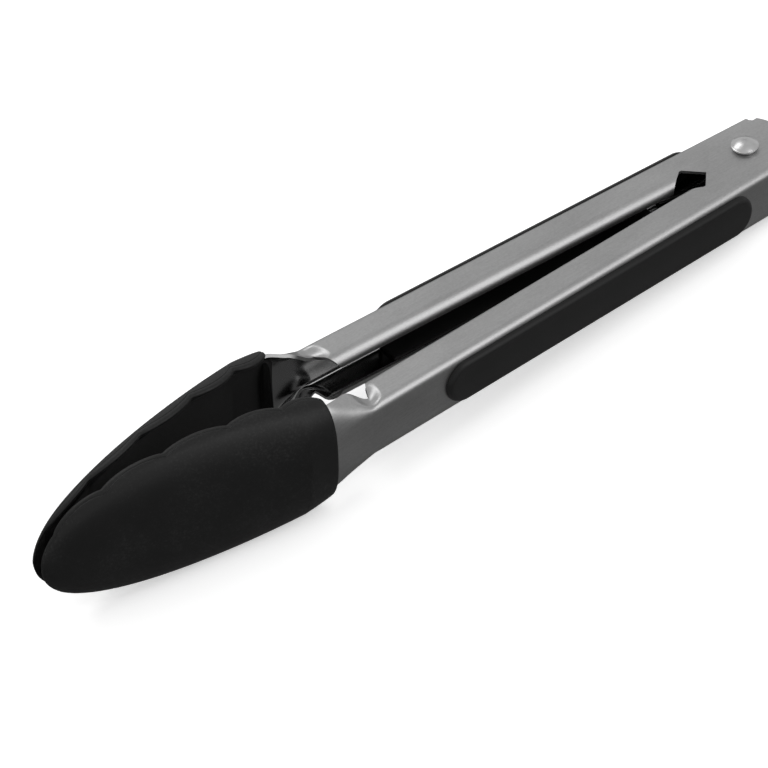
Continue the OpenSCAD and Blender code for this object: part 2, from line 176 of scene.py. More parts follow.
class Shape:
    """The sizes in millimetres, and the curves that the arms and tips follow.

    u is the distance from the rivet. Marks number half a folded section, from the middle of the
    back to the free edge: flat back, bend, flange and curled lip.
    """

    bend_mark = 1
    flange_mark = 6
    lip_mark = 7
    marks = 12
    wing_mark = 6.5  # the free edge along the neck and blade

    # The head, whose back slopes inwards to a rounded nose, and its outline seen on the back.
    head_start = 145
    head_drop = 15.2
    head_widest = 168
    nose_from, nose_run = 0.85, 0.15
    nose_round = 1.1
    plan_power, plan_root = 2.15, 2.3
    rear_taper = 0.0035
    corner_len = 5
    corner_cut = 0.4
    power = 2 / 2.7

    # The rim, how its waves are spread, and how far short of the nose they stop.
    rim_open, rim_power = 10.2, 1.5
    last_lobe = 0.6
    wave_spread, wave_skew, wave_power = 0.48, 1.45, 0.7
    wave_short = 4
    seam_in = 1.35
    groove_depth, groove_w = 0.15, 0.1
    lining, lining_len, lining_half_w = 3.5, 5, 13

    # The steel blade in the tip, and how far short of the nose it narrows and ends.
    blade_arc = math.radians(66)
    blade_spread = 1.05
    blade_narrow = 0.8
    narrow_short, blade_short = 22, 9

    # The neck: the channel opens, keeps its fold for a little, and turns into the blade's scoop.
    neck_open = 6.5
    neck_hold = 4.5
    neck_turn = math.radians(57)
    neck_bend_r = 5.1
    neck_flange = 6.2
    flange_back, lip_back = 2.2, 3
    dimple_past, dimple_y = 0.2, 6.6
    dimple_r, dimple_depth = 3.7, 1.0

    slant_end = 60  # the slope of the lips' ends has died out here
    outer_ear_more = 2  # the outer ears reach this much further past the rivet
    working_gap = 0.05
    grip_round = 1.35

    def __init__(self, sizes):
        for prop in sizes.bl_rna.properties:
            if prop.identifier in sizes.__annotations__:
                value = getattr(sizes, prop.identifier)
                if getattr(prop, "unit", "") == "LENGTH":
                    value *= PER_METRE
                setattr(self, prop.identifier, value)
        self.skin = (self.tip_wall - self.sheet) / 2
        self.wave_end = self.reach - self.wave_short
        self.lip_flat = self.channel_d - self.bend_r - self.lip_r
        self.blade_round = self.reach - self.narrow_short
        self.blade_end = self.reach - self.blade_short
        self.back_in = self.back_offset - self.sheet
        self.front_half_h = self.channel_h / 2
        self.rear_half_h = self.front_half_h - self.sheet - self.ear_gap

    def head_share(self, u):
        return clamp01((u - self.head_start) / (self.reach - self.head_start))

    def tip_back(self, u):
        nose = clamp01((self.head_share(u) - self.nose_from) / self.nose_run)
        drop = self.head_drop * self.head_share(u)
        return self.back_offset + self.skin - drop - self.nose_round * (1 - math.sqrt(1 - nose * nose))

    def open_share(self, u):
        return (self.reach - u) / (self.reach - self.tip_start)

    def lobe_h(self, u):
        return self.wave_h * mix(self.last_lobe, 1, self.open_share(u))

    def tip_crest(self, u):
        """The line that the lobes of the rim reach."""
        opened = (self.rim_open - self.wave_h) * self.open_share(u) ** self.rim_power
        return self.tip_gap / 2 - u * math.tan(self.splay) + opened

    def wave_cut(self, u):
        """How far the rim lies back from its crest line."""
        k = clamp01((u - self.tip_start) / (self.wave_end - self.tip_start))
        phase = k + self.wave_spread * k * (1 - k) * (1 - self.wave_skew * k)
        lobe = abs(math.sin(math.pi * self.wave_count * phase)) ** self.wave_power
        return self.lobe_h(u) * (1 - lobe)

    def crest_depth(self, u):
        return self.tip_back(u) - self.tip_crest(u)

    def arc_at(self, u, above):
        """The angle where a section has come to this height above the crest line."""
        return math.acos(clamp01(above / self.crest_depth(u)) ** (1 / self.power))

    def tip_half_w(self, u):
        forward = clamp01((u - self.head_widest) / (self.reach - self.head_widest))
        backward = max(0, self.head_widest - u)
        corner = clamp01((self.tip_start + self.corner_len - u) / self.corner_len)
        side = self.head_half_w * (1 - forward**self.plan_power) ** (1 / self.plan_root)
        return side - self.rear_taper * backward**2 - self.corner_cut * (1 - math.sqrt(1 - corner * corner))

    def scoop(self, back, w, depth, a):
        """A point of a scoop's section and its heading, at the angle a from the middle of its back."""

        def at(angle):
            return (
                back - depth * (1 - math.cos(angle) ** self.power),
                w * math.sin(angle) ** self.power,
            )

        y, z = at(a)
        step = 0.01
        before, after = at(max(0, a - step)), at(min(math.pi / 2, a + step))
        heading = 0 if a == 0 else math.atan2(before[0] - after[0], after[1] - before[1])
        return y, z, heading

    def blade(self, u, q):
        """The steel blade's outer face inside the soft tip."""
        late = clamp01((u - self.blade_round) / (self.blade_end - self.blade_round))
        arc = self.blade_arc * math.sqrt(1 - late * late * self.blade_narrow)
        y, z, heading = self.scoop(
            self.tip_back(u), self.tip_half_w(u), self.crest_depth(u), arc * q / self.marks
        )
        return y - self.skin * math.cos(heading), z - self.skin * math.sin(heading), heading

    def bend_share(self, q):
        return clamp01((q - self.bend_mark) / (self.flange_mark - self.bend_mark))

    def lip_share(self, q):
        return clamp01((q - self.lip_mark) / (self.marks - self.lip_mark))

    def folded(self, q, flat, r, turn, flange, lip=0, curl=0):
        """A point of a folded sheet's outer face and its heading, at the mark q."""

        def bend(y, z, heading, radius, a):
            y -= radius * (math.cos(heading) - math.cos(heading + a))
            z += radius * (math.sin(heading + a) - math.sin(heading))
            return y, z, heading + a

        y, z, heading = bend(self.back_offset, clamp01(q) * flat, 0.0, r, turn * self.bend_share(q))
        run = flange * clamp01(q - self.flange_mark)
        y, z = y - run * math.sin(heading), z + run * math.cos(heading)
        return bend(y, z, heading, lip, curl * self.lip_share(q))

    def arm(self, u, q, half_h):
        """The outer face of an arm at u, from the middle of its back (q = 0) to its free edge.

        The free edge is at the last mark along the channel, and at wing_mark along neck and blade.
        """
        right = math.pi / 2
        flat = half_h - self.bend_r
        if u <= self.neck_reach:
            return self.folded(q, flat, self.bend_r, right, self.lip_flat, self.lip_r, right)
        across = q * self.marks / self.wing_mark * self.blade_spread
        if u >= self.tip_start:
            return self.blade(u, across)
        past, neck_len = u - self.neck_reach, self.tip_start - self.neck_reach
        opened = smooth(past / self.neck_open)
        scooped = smooth((past - self.neck_hold) / (neck_len - self.neck_hold))
        r = mix(self.bend_r, self.neck_bend_r, opened)
        turn = mix(right, self.neck_turn, opened)
        fold = self.folded(q, flat, r, turn, mix(self.lip_flat, self.neck_flange, opened))
        blade = self.blade(self.tip_start, across)
        return tuple(mix(a, b, scooped) for a, b in zip(fold, blade))

    def end_shift(self, q):
        """How much nearer the rivet than the back the flange and lip end."""
        return self.flange_back * clamp01(q - self.flange_mark) + self.lip_back * self.lip_share(q)

    def dimple(self, u, y):
        """The depth of the round dent pressed in the bend where the neck begins."""
        r = math.hypot(u - self.neck_reach - self.dimple_past, y - self.dimple_y) / self.dimple_r
        return self.dimple_depth * (1 - r * r) ** 2 if r < 1 else 0


def rear_side(s):
    """From an arm's own frame, along -X with its back on +Y, to the rear arm's place."""
    return LYING @ Matrix.Rotation(-s.splay, 4, "Z")


def front_side(s):
    """The same for the front arm, whose back is turned over to -Y."""
    return LYING @ Matrix.Diagonal((1, -1, 1, 1)) @ Matrix.Rotation(-s.splay, 4, "Z")


def mirrored(points):
    """The same points under the plane that halves the tongs."""
    return [Vector((p.x, p.y, -p.z)) for p in points]


# ---------- mesh tools ----------
def grid_of(rows, columns, place, cut=lambda i, j: False):
    """A grid sheet whose vertex at row i, column j is put at place(i, j), in millimetres, unless cut away."""
    bm = bmesh.new()
    bmesh.ops.create_grid(bm, x_segments=rows, y_segments=columns, size=0.5)
    waste = []
    for v in bm.verts:
        i, j = round((v.co.x + 0.5) * rows), round((v.co.y + 0.5) * columns)
        if cut(i, j):
            waste.append(v)
        else:
            v.co = place(i, j)
    bmesh.ops.delete(bm, geom=waste, context="VERTS")
    return bm


def joined(*parts):
    """One bmesh of several, their meeting vertices merged."""
    whole = bmesh.new()
    for bm in parts:
        mesh = bpy.data.meshes.new("part")
        bm.to_mesh(mesh)
        bm.free()
        whole.from_mesh(mesh)
        bpy.data.meshes.remove(mesh)
    bmesh.ops.remove_doubles(whole, verts=whole.verts[:], dist=MEET)
    return whole


def close_ends(bm):
    """Fills the open rings at both ends of a tube."""
    bmesh.ops.edgeloop_fill(bm, edges=[e for e in bm.edges if e.is_boundary])


def finished(name, bm, matrix, body, materials, replaces, closed=True):
    """Makes the object from a bmesh in millimetres, in place, smooth, and riding on its body."""
    bmesh.ops.transform(bm, matrix=matrix @ Matrix.Scale(1 / PER_METRE, 4), verts=bm.verts[:])
    if closed:
        bmesh.ops.recalc_face_normals(bm, faces=bm.faces[:])
    for face in bm.faces:
        face.smooth = True
    mesh = bpy.data.meshes.new(name)
    bm.to_mesh(mesh)
    bm.free()
    for material in materials:
        mesh.materials.append(material)
    piece = bpy.data.objects.new(name, mesh)
    bpy.context.scene.collection.objects.link(piece)
    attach(piece, body)
    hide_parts(*replaces)
    return piece


def bevelled(piece, width, segments=2, angle=50):
    """Rounds the sharp edges, by a width in millimetres."""
    bevel = piece.modifiers.new("Edge rounding", "BEVEL")
    bevel.width = width / PER_METRE
    bevel.segments = segments
    bevel.limit_method = "ANGLE"
    bevel.angle_limit = math.radians(angle)
    bevel.harden_normals = True


# ---------- materials ----------
class Nodes:
    """A material's node tree, built a node at a time."""

    def __init__(self, name):
        self.material = bpy.data.materials.new(name)
        self.material.use_nodes = True
        self.tree = self.material.node_tree
        self.tree.nodes.clear()
        output = self.add("ShaderNodeOutputMaterial")
        self.shader = self.add("ShaderNodeBsdfPrincipled")
        self.link(self.shader.outputs["BSDF"], output.inputs["Surface"])
        self.coordinates = self.add("ShaderNodeTexCoord").outputs["Object"]

    def add(self, kind, **values):
        node = self.tree.nodes.new(kind)
        for key, value in values.items():
            setattr(node, key, value)
        return node

    def link(self, a, b):
        self.tree.links.new(a, b)

    def set(self, **values):
        for key, value in values.items():
            self.shader.inputs[key.replace("_", " ")].default_value = value

    def noise(self, scale, detail=2.0, roughness=0.5):
        """Noise on Object coordinates stretched by scale, per metre."""
        mapping = self.add("ShaderNodeMapping")
        mapping.inputs["Scale"].default_value = scale
        self.link(self.coordinates, mapping.inputs["Vector"])
        noise = self.add("ShaderNodeTexNoise")
        noise.inputs["Scale"].default_value = 1.0
        noise.inputs["Detail"].default_value = detail
        noise.inputs["Roughness"].default_value = roughness
        self.link(mapping.outputs["Vector"], noise.inputs["Vector"])
        return noise.outputs["Fac"]

    def remap(self, value, low, high, lowest=0.3, highest=0.7):
        node = self.add("ShaderNodeMapRange")
        node.inputs["From Min"].default_value = lowest
        node.inputs["From Max"].default_value = highest
        node.inputs["To Min"].default_value = low
        node.inputs["To Max"].default_value = high
        self.link(value, node.inputs["Value"])
        return node.outputs["Result"]

    def blend(self, value, colour_a, colour_b, lowest=0.3, highest=0.7):
        """A colour between two, by a value that runs from lowest to highest."""
        ramp = self.add("ShaderNodeValToRGB")
        ramp.color_ramp.elements[0].position = lowest
        ramp.color_ramp.elements[1].position = highest
        ramp.color_ramp.elements[0].color = (*colour_a, 1)
        ramp.color_ramp.elements[1].color = (*colour_b, 1)
        self.link(value, ramp.inputs["Fac"])
        return ramp.outputs["Color"]

    def math(self, operation, a, b):
        node = self.add("ShaderNodeMath", operation=operation)
        for socket, value in zip(node.inputs, (a, b)):
            if isinstance(value, (int, float)):
                socket.default_value = value
            else:
                self.link(value, socket)
        return node.outputs[0]

    def added(self, a, part_a, b, part_b):
        """Two values, each taken in part, added up."""
        return self.math("ADD", self.math("MULTIPLY", a, part_a), self.math("MULTIPLY", b, part_b))

    def tone(self, value, colour, dark, light, **limits):
        """Shades the base colour between two factors, by a value."""
        shades = self.blend(value, shade(colour, dark), shade(colour, light), **limits)
        self.link(shades, self.shader.inputs["Base Color"])

    def roughness(self, value, low, high):
        self.link(self.remap(value, low, high), self.shader.inputs["Roughness"])

    def bump(self, height, strength, distance):
        node = self.add("ShaderNodeBump")
        node.inputs["Strength"].default_value = strength
        node.inputs["Distance"].default_value = distance
        self.link(height, node.inputs["Height"])
        self.link(node.outputs["Normal"], self.shader.inputs["Normal"])


def shade(colour, factor):
    return tuple(min(1, c * factor) for c in colour)


def made_once(name, build):
    """The material of this name, built the first time that it is asked for."""
    return bpy.data.materials.get(name) or build(name)


def brushed_steel():
    """Sheet steel brushed along the arms, with faint cloudy patches."""

    def build(name):
        colour = bpy.context.scene.tongs_finishes.steel
        n = Nodes(name)
        n.set(Metallic=1.0)
        streaks = n.noise((60, 2600, 2600), detail=3.0, roughness=0.6)
        grit = n.noise((1400, 2200, 2200), detail=2.0, roughness=0.7)
        clouds = n.noise((35, 70, 70), detail=3.0)
        grain = n.added(streaks, 0.4, grit, 0.6)
        both = n.added(grain, 0.6, clouds, 0.4)
        n.tone(both, colour, dark=0.8, light=1.14)
        n.roughness(both, low=0.33, high=0.43)
        n.bump(grain, strength=0.1, distance=0.00004)
        return n.material

    return made_once("brushed_sheet_steel", build)


def shaded_inner_steel():
    """The inside of the arms, left with the mill's polish. Its base colour is darkened to about half the outer
    steel's as painted shade inside the channel.
    """

    def build(name):
        colour = bpy.context.scene.tongs_finishes.steel
        n = Nodes(name)
        n.set(Metallic=1.0)
        streaks = n.noise((45, 110, 110), detail=1.0)
        # Painted shade: the base colour is held at 0.45 to 0.58 of the outer steel's, standing in for the shade
        # inside the channel.
        n.tone(streaks, colour, dark=0.45, light=0.58)
        n.roughness(streaks, low=0.16, high=0.22)
        n.bump(streaks, strength=0.5, distance=0.0014)
        return n.material

    return made_once("inner_sheet_steel", build)


def polished_steel():
    """The rivet's steel, polished but lightly dented by use."""

    def build(name):
        colour = bpy.context.scene.tongs_finishes.polished
        n = Nodes(name)
        n.set(Metallic=1.0)
        dents = n.noise((500, 500, 500), detail=2.0)
        n.tone(dents, colour, dark=0.92, light=1.05)
        n.roughness(dents, low=0.26, high=0.36)
        n.bump(dents, strength=0.08, distance=0.00006)
        return n.material

    return made_once("polished_rivet_steel", build)


def drawn_wire():
    """The spring's dark wire, with fine drawing marks."""

    def build(name):
        colour = bpy.context.scene.tongs_finishes.wire
        n = Nodes(name)
        n.set(Metallic=1.0)
        marks = n.noise((900, 900, 900), detail=3.0)
        n.tone(marks, colour, dark=0.85, light=1.15)
        n.roughness(marks, low=0.4, high=0.5)
        n.bump(marks, strength=0.1, distance=0.00003)
        return n.material

    return made_once("drawn_spring_wire", build)


def silicone():
    """Moulded silicone: near black, satin, with a fine pale dust on it."""

    def build(name):
        colour = bpy.context.scene.tongs_finishes.silicone
        n = Nodes(name)
        n.set(Metallic=0.0, IOR=1.46, Sheen_Weight=0.015, Sheen_Roughness=0.4)
        bloom = n.noise((70, 70, 70), detail=3.0)
        dust = n.noise((1900, 1900, 1900), detail=3.0, roughness=0.7)
        mixed = n.added(bloom, 0.3, dust, 0.7)
        n.tone(mixed, colour, dark=1.0, light=6.0, lowest=0.52, highest=0.7)
        n.roughness(bloom, low=0.42, high=0.52)
        n.bump(dust, strength=0.14, distance=0.00005)
        return n.material

    return made_once("moulded_silicone", build)


def grip_rubber():
    """Soft rubber with a faint bloom and fine pores."""

    def build(name):
        colour = bpy.context.scene.tongs_finishes.rubber
        n = Nodes(name)
        n.set(Metallic=0.0, IOR=1.4, Sheen_Weight=0.04)
        bloom = n.noise((60, 60, 60), detail=3.0)
        pores = n.noise((1800, 1800, 1800), detail=2.0)
        n.tone(bloom, colour, dark=0.8, light=1.3)
        n.roughness(bloom, low=0.4, high=0.5)
        n.bump(pores, strength=0.15, distance=0.00006)
        return n.material

    return made_once("soft_grip_rubber", build)


def liner_plastic():
    """Moulded nylon with shallow sink marks and a fine grain."""

    def build(name):
        colour = bpy.context.scene.tongs_finishes.plastic
        n = Nodes(name)
        n.set(Metallic=0.0, IOR=1.46)
        sink = n.noise((80, 200, 200), detail=2.0)
        grain = n.noise((2200, 2200, 2200), detail=2.0)
        n.tone(sink, colour, dark=0.8, light=1.3)
        n.roughness(sink, low=0.42, high=0.55)
        n.bump(grain, strength=0.1, distance=0.00005)
        return n.material

    return made_once("moulded_nylon", build)


# ---------- pieces ----------
def marks_of_section():
    """Marks along half a section, close together in the bends."""
    marks = []
    for start, run, steps in ((0, 1, 4), (1, 5, 12), (6, 1, 6), (7, 5, 12)):
        marks += [start + run * k / steps for k in range(steps)]
    return marks + [Shape.marks]


def rows_of_arm(s):
    """Where an arm's rows lie, with one right at the channel's end, and the index of that row."""
    end = s.neck_reach
    near, step = 4, 0.2
    along = [s.lip_end, 30, s.slant_end, 100, end - 10, end - 6]
    along += [end - near + step * k for k in range(41)]
    along += [mix(end + near, s.tip_start, k / 18) for k in range(1, 19)]
    last_full = along.index(min(along, key=lambda u: abs(u - end)))
    along[last_full] = end
    along += [mix(s.tip_start + 2, s.blade_end, k / 16) for k in range(17)]
    return along, last_full


def steel_arm(name, s, half_h, ear_past, matrix, body, node):
    """One folded sheet: channel with curled lips, neck and blade, and the ears round the rivet."""
    marks = marks_of_section()
    last = len(marks) - 1
    flange = marks.index(s.flange_mark)
    wing = marks.index(s.wing_mark)
    along, last_full = rows_of_arm(s)
    end = s.neck_reach
    root = s.back_offset - s.bend_r
    edge = root - s.lip_flat
    fade, fade_past = 10, 4
    dimple_marks = 3

    def on_section(u, j):
        """Column j runs from one free edge over the back to the other, and the lips' ends slope back."""
        side, mark = (1, j - last) if j >= last else (-1, last - j)
        q = marks[mark]
        y, z, _ = s.arm(u, q, half_h)
        z -= s.dimple(u, y) * smooth((q - s.bend_mark) / dimple_marks)
        ending = smooth((u - end + fade) / fade) if u <= end else 1 - smooth((u - end) / fade_past)
        u -= s.end_shift(q) * ending
        if u < s.slant_end:
            back = s.lip_slant * clamp01((edge - y) / s.lip_r)
            u += back * (s.slant_end - u) / (s.slant_end - s.lip_end)
        return Vector((-u, y, side * z))

    channel = grid_of(
        len(along) - 1,
        2 * last,
        lambda i, j: on_section(along[i], j),
        lambda i, j: i > last_full and abs(j - last) > wing,
    )
    near = [s.lip_end, 10, 0, -s.back_end]
    back = grid_of(
        len(near) - 1,
        2 * flange,
        lambda i, j: Vector((-near[i], *on_section(s.lip_end, last - flange + j).yz)),
    )
    arc_from, arc_to = math.asin(root / s.ear_r), math.asin(-ear_past / s.ear_r)
    outline = [(-u, root) for u in near]
    for k in range(25):
        a = mix(arc_from, arc_to, k / 24)
        outline.append((s.ear_r * math.cos(a), s.ear_r * math.sin(a)))
    outline += [(ear_past - s.ear_cross, -ear_past), (-edge - s.ear_cross, edge), (-s.lip_end, edge)]
    ears = bmesh.new()
    for side in (1, -1):
        ears.faces.new([ears.verts.new((x, y, side * half_h)) for x, y in outline])
    arm = joined(channel, back, ears)
    bmesh.ops.recalc_face_normals(arm, faces=arm.faces[:])
    on_back = Vector((-60, s.back_offset, 0))
    middle = min(arm.faces, key=lambda f: (f.calc_center_median() - on_back).length)
    if middle.normal.y < 0:
        bmesh.ops.reverse_faces(arm, faces=arm.faces[:])
    if matrix.determinant() < 0:
        bmesh.ops.reverse_faces(arm, faces=arm.faces[:])
    steels = (brushed_steel(), shaded_inner_steel())
    piece = finished(name, arm, matrix, body, steels, (node,), closed=False)
    thick = piece.modifiers.new("Sheet", "SOLIDIFY")
    thick.thickness = s.sheet / PER_METRE
    thick.offset = -1
    thick.use_even_offset = True
    # The inner face takes the second material, the steel darkened as painted shade.
    thick.material_offset = 1
    bevelled(piece, 0.38, segments=3)


class TONGS_OT_arms(bpy.types.Operator):
    """Fold the two sheet steel arms"""

    bl_idname = "tongs.arms"
    bl_label = "Arms"

    def execute(self, context):
        s = Shape(context.scene.tongs_sizes)
        outer_past = s.ear_past + s.outer_ear_more
        steel_arm("front_arm_steel", s, s.front_half_h, outer_past, front_side(s), "front", "front_arm")
        steel_arm("rear_arm_steel", s, s.rear_half_h, s.ear_past, rear_side(s), "rear", "rear_arm")
        return {"FINISHED"}


GROOVE_ROWS = (0.25, 0.14, 0.07, 0, -0.07, -0.14, -0.25)  # heights about the moulding line
REAR_TRIMS = ((0, 0.35), (0.05, 0.2), (0.15, 0.08), (0.35, 0))  # past the rear end, trim there


def tip_section(s, u, trim):
    """The closed section of a soft tip at u: outer skin with a moulding line, round rim, inner skin.

    trim draws the skins together at the rear end, where the inner skin reaches on into the neck.
    """
    lining = s.lining * clamp01(1 - (u - s.tip_start) / s.lining_len)
    cut = s.wave_cut(u)
    depth = s.crest_depth(u)
    full_depth, full_half_w = 4, 6
    shrink = min(1, (depth - cut) / full_depth, s.tip_half_w(u) / full_half_w)
    lip = s.rim_wall * shrink / 2
    seam = s.seam_in * shrink
    above_seam, steps = 0.4, 44
    first = s.arc_at(u, cut + seam + above_seam * shrink)
    angles = [first * k / steps for k in range(steps + 1)]
    angles += [s.arc_at(u, cut + seam + off * shrink) for off in GROOVE_ROWS]
    angles += [s.arc_at(u, cut + lip)]
    outer = []
    inner = []
    for k, angle in enumerate(angles):
        y, z, heading = s.scoop(s.tip_back(u), s.tip_half_w(u), depth, angle)
        wall = mix(s.tip_wall, s.rim_wall, (k / (len(angles) - 1)) ** 4) * shrink
        off = y - s.tip_crest(u) - cut - seam
        groove = s.groove_depth * shrink * math.exp(-((off / (s.groove_w * shrink)) ** 2))
        normal = Vector((0, math.cos(heading), math.sin(heading)))
        into = lining * clamp01(1 - (z / s.lining_half_w) ** 6)
        outer.append(Vector((-u, y, z)) - (trim + groove) * normal)
        inner.append(Vector((into - u, y, z)) - (wall - trim) * normal)
    ahead = Vector((0, -normal.z, normal.y))
    middle = outer[-1] - (lip - trim) * normal
    turn = []
    for k in range(1, 8):
        a = math.pi * k / 8
        turn.append(middle + (lip - trim) * math.cos(a) * normal + lip * math.sin(a) * ahead)
    half = outer + turn + inner[::-1]
    return half + mirrored(half[::-1])


def soft_tip(name, s, matrix, body, node):
    """A moulded scoop with a waved rim and a fine moulding line beside it."""
    trims = {s.tip_start + past: trim for past, trim in REAR_TRIMS}
    along = list(trims)
    along += [mix(s.tip_start + 0.8, s.wave_end, k / 150) for k in range(151)]
    along += [mix(s.wave_end, s.reach, math.sin(math.pi / 2 * k / 14)) for k in range(1, 14)]
    along += [s.reach - 0.01]
    sections = [tip_section(s, u, trims.get(u, 0)) for u in along]
    count = len(sections[0])
    tip = grid_of(len(along) - 1, count, lambda i, j: sections[i][j % count])
    bmesh.ops.remove_doubles(tip, verts=tip.verts[:], dist=1e-5)
    close_ends(tip)
    finished(name, tip, matrix, body, (silicone(),), (node,))


class TONGS_OT_tips(bpy.types.Operator):
    """Mould the two soft tips"""

    bl_idname = "tongs.tips"
    bl_label = "Soft tips"

    def execute(self, context):
        s = Shape(context.scene.tongs_sizes)
        soft_tip("front_silicone_tip", s, front_side(s), "front", "front_tip")
        soft_tip("rear_silicone_tip", s, rear_side(s), "rear", "rear_tip")
        return {"FINISHED"}


def grip_pad(name, s, matrix, body, node):
    """A long pad with round ends and a soft edge, on the back of an arm."""
    r = s.grip_h / 2
    pad = bmesh.new()
    bmesh.ops.create_circle(pad, cap_ends=True, segments=64, radius=r)
    for v in pad.verts:
        stretch = s.grip_len - 2 * r if v.co.x < 1e-6 else 0
        x = v.co.x - s.grip_start - r - stretch
        v.co = Vector((x, s.back_offset + s.working_gap, v.co.y))
    grown = bmesh.ops.extrude_face_region(pad, geom=pad.faces[:])
    top = [v for v in grown["geom"] if isinstance(v, bmesh.types.BMVert)]
    bmesh.ops.translate(pad, vec=Vector((0, s.grip_t, 0)), verts=top)
    rim = [e for e in pad.edges if all(v in top for v in e.verts)]
    bmesh.ops.bevel(
        pad, geom=rim, offset=s.grip_round, segments=8, profile=0.5, affect="EDGES", material=-1
    )
    finished(name, pad, matrix, body, (grip_rubber(),), (node,))


class TONGS_OT_grips(bpy.types.Operator):
    """Lay the grip pads on the arms and finish the liners inside them"""

    bl_idname = "tongs.grips"
    bl_label = "Grips"

    def execute(self, context):
        s = Shape(context.scene.tongs_sizes)
        grip_pad("front_grip_pad", s, front_side(s), "front", "front_grip")
        grip_pad("rear_grip_pad", s, rear_side(s), "rear", "rear_grip")
        for node in ("front_grip_liner", "rear_grip_liner"):
            refinish(node, liner_plastic())
        return {"FINISHED"}


def refinish(node, material, edge=0.12):
    """Gives a CAD node a material and fine rounded edges."""
    piece = frame["nodes"][node]
    piece.data.materials.clear()
    piece.data.materials.append(material)
    bevelled(piece, edge)


def rivet_profile(s):
    """Half the rivet's outline, from the top of its dome down, as radius and height."""
    seat = s.front_half_h + s.working_gap
    rim = seat + s.rivet_rim
    top = rim + s.rivet_dome
    base = s.rivet_head_r - 0.1
    ball = (base**2 + s.rivet_dome**2) / (2 * s.rivet_dome)
    rise = math.asin(base / ball)
    profile = [(0, top)]
    for k in range(1, 17):
        a = rise * k / 16
        profile.append((ball * math.sin(a), top - ball * (1 - math.cos(a))))
    profile += [(s.rivet_head_r, rim - 0.03), (s.rivet_head_r, rim - 0.3)]
    profile += [(s.rivet_head_r - 0.6, seat), (s.rivet_r, seat)]
    return profile + [(x, -z) for x, z in profile[::-1]]


class TONGS_OT_rivet(bpy.types.Operator):
    """Turn the rivet with its two domed heads"""

    bl_idname = "tongs.rivet"
    bl_label = "Rivet"

    def execute(self, context):
        s = Shape(context.scene.tongs_sizes)
        rivet = bmesh.new()
        verts = [rivet.verts.new((x, 0, z)) for x, z in rivet_profile(s)]
        edges = [rivet.edges.new(pair) for pair in zip(verts, verts[1:])]
        bmesh.ops.spin(
            rivet, geom=verts + edges, axis=(0, 0, 1), cent=(0, 0, 0), angle=math.tau, steps=96, use_merge=True
        )
        bmesh.ops.remove_doubles(rivet, verts=rivet.verts[:], dist=MEET)
        steel = (polished_steel(),)
        piece = finished("rivet", rivet, LYING, "hinge", steel, ("pivot_rivet",))
        bevelled(piece, 0.05, angle=60)
        refinish("pivot_bush", brushed_steel())
        return {"FINISHED"}


def spring_wire(s):
    """The upper half of the wire's path: rear leg and half the coil, then the rest to the front bend."""
    over_strap, between_turns, bend = 0.3, 0.2, 1.5
    low = s.strap_t / 2 + over_strap + s.wire_d / 2
    pitch = s.wire_d + between_turns
    web = s.back_in / math.cos(s.splay) + s.leg_reach * math.tan(s.splay)
    leg_y = web - s.wire_d / 2 - s.working_gap
    lean = math.atan2(leg_y, -s.leg_reach) - math.acos(s.coil_r / math.hypot(leg_y, s.leg_reach))
    sweep = 2 * lean + math.tau * (s.coil_turns - 1)
    steps = 40 * s.coil_turns
    coil = []
    for k in range(steps + 1):
        a = lean - sweep * k / steps
        z = low + pitch * sweep * (1 - k / steps) / math.tau
        coil.append(Vector((s.coil_r * math.cos(a), s.coil_r * math.sin(a), z)))
    front = Vector((-s.leg_reach, -leg_y, low))
    along = (front - coil[-1]).normalized()
    turn = []
    for k in range(7):
        a = math.pi / 2 * k / 6
        turn.append(front - along * bend * (1 - math.sin(a)) - Vector((0, 0, bend * (1 - math.cos(a)))))
    return [Vector((-s.leg_reach, leg_y, coil[0].z))] + coil[: steps // 2 + 1], coil[steps // 2 :] + turn


def wire_piece(name, s, paths):
    """A round wire along one or more paths."""
    curve = bpy.data.curves.new(name, "CURVE")
    curve.dimensions = "3D"
    curve.bevel_depth = s.wire_d / 2 / PER_METRE
    curve.bevel_resolution = 5
    curve.use_fill_caps = True
    for path in paths:
        spline = curve.splines.new("POLY")
        spline.points.add(len(path) - 1)
        for point, p in zip(spline.points, path):
            point.co = (*(LYING @ (p / PER_METRE)), 1)
    drawn = bpy.data.objects.new(name, curve)
    bpy.context.scene.collection.objects.link(drawn)
    bpy.context.view_layer.update()
    mesh = bpy.data.meshes.new_from_object(drawn)
    bpy.data.objects.remove(drawn)
    mesh.name = name
    mesh.materials.clear()
    mesh.materials.append(drawn_wire())
    mesh.shade_smooth()
    piece = bpy.data.objects.new(name, mesh)
    bpy.context.scene.collection.objects.link(piece)
    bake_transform(piece)
    return piece


class TONGS_OT_spring(bpy.types.Operator):
    """Wind the double torsion spring round the rivet"""

    bl_idname = "tongs.spring"
    bl_label = "Spring"

    def execute(self, context):
        s = Shape(context.scene.tongs_sizes)
        rear, front = spring_wire(s)
        bar = front + mirrored(front[::-1])
        legs = wire_piece("spring_rear_legs", s, [rear, mirrored(rear)])
        loop = wire_piece("spring_front_loop", s, [bar])
        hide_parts("torsion_spring")
        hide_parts("torsion_spring")
        return {"FINISHED"}


class TONGS_OT_lock(bpy.types.Operator):
    """Finish the sliding lock strap with its hanging loop"""

    bl_idname = "tongs.lock"
    bl_label = "Lock strap"

    def execute(self, context):
        refinish("lock_strap", brushed_steel(), edge=0.2)
        return {"FINISHED"}


# ---------- studio ----------
SKY = ((0.0, 0.1), (0.42, 0.16), (0.52, 0.7), (0.66, 0.45), (1.0, 0.5))  # height, grey there


def wattage(name, default, description):
    """A lamp's power for the sidebar."""
    return FloatProperty(name=name, default=default, min=0, subtype="POWER", description=description)


